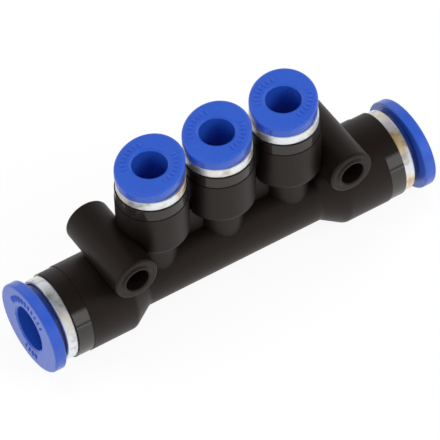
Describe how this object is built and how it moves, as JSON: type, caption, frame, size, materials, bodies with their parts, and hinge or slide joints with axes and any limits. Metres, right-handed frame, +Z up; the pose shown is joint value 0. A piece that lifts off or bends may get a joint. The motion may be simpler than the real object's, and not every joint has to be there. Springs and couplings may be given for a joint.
{
  "type": "air manifold block",
  "caption": "Moulded push-in air manifold: inlet sockets on a main tube, a row of outlets on top, cross tubes for mounting screws and blue oval release sleeves.",
  "frame": {"origin": "midway between the two mounting holes, on the middle plane of the block", "axes": "+X along the main channel from inlet to inlet, +Z up along the outlets, +Y along the mounting holes to the back"},
  "size_m": [0.0766, 0.0182, 0.0338],
  "materials": {
    "black_pbt": "moulded, fine matte",
    "blue_acetal": "moulded, satin",
    "nickel_plated_brass": "turned and nickel plated",
    "spring_steel": "stamped stainless sheet",
    "white_acetal": "moulded",
    "nitrile_rubber": "moulded"
  },
  "bodies": {
    "body": {"housing": "black_pbt", "left_inlet_guide_ring": "nickel_plated_brass", "left_inlet_lock_claw": "spring_steel", "left_inlet_backup_ring": "white_acetal", "left_inlet_seal": "nitrile_rubber", "right_inlet_guide_ring": "nickel_plated_brass", "right_inlet_lock_claw": "spring_steel", "right_inlet_backup_ring": "white_acetal", "right_inlet_seal": "nitrile_rubber", "left_outlet_guide_ring": "nickel_plated_brass", "left_outlet_lock_claw": "spring_steel", "left_outlet_backup_ring": "white_acetal", "left_outlet_seal": "nitrile_rubber", "middle_outlet_guide_ring": "nickel_plated_brass", "middle_outlet_lock_claw": "spring_steel", "middle_outlet_backup_ring": "white_acetal", "middle_outlet_seal": "nitrile_rubber", "right_outlet_guide_ring": "nickel_plated_brass", "right_outlet_lock_claw": "spring_steel", "right_outlet_backup_ring": "white_acetal", "right_outlet_seal": "nitrile_rubber"},
    "left_inlet_sleeve": {"left_inlet_release_sleeve": "blue_acetal"},
    "right_inlet_sleeve": {"right_inlet_release_sleeve": "blue_acetal"},
    "left_outlet_sleeve": {"left_outlet_release_sleeve": "blue_acetal"},
    "middle_outlet_sleeve": {"middle_outlet_release_sleeve": "blue_acetal"},
    "right_outlet_sleeve": {"right_outlet_release_sleeve": "blue_acetal"}
  },
  "joints": [
    {"name": "left_inlet_release", "type": "slide", "parent": "body", "child": "left_inlet_sleeve", "axis": [1, 0, 0], "range_m": [0, 0.0011], "stiffness_N_per_m": 1000},
    {"name": "right_inlet_release", "type": "slide", "parent": "body", "child": "right_inlet_sleeve", "axis": [-1, 0, 0], "range_m": [0, 0.0011], "stiffness_N_per_m": 1000},
    {"name": "left_outlet_release", "type": "slide", "parent": "body", "child": "left_outlet_sleeve", "axis": [0, 0, -1], "range_m": [0, 0.0011], "stiffness_N_per_m": 1000},
    {"name": "middle_outlet_release", "type": "slide", "parent": "body", "child": "middle_outlet_sleeve", "axis": [0, 0, -1], "range_m": [0, 0.0011], "stiffness_N_per_m": 1000},
    {"name": "right_outlet_release", "type": "slide", "parent": "body", "child": "right_outlet_sleeve", "axis": [0, 0, -1], "range_m": [0, 0.0011], "stiffness_N_per_m": 1000}
  ]
}
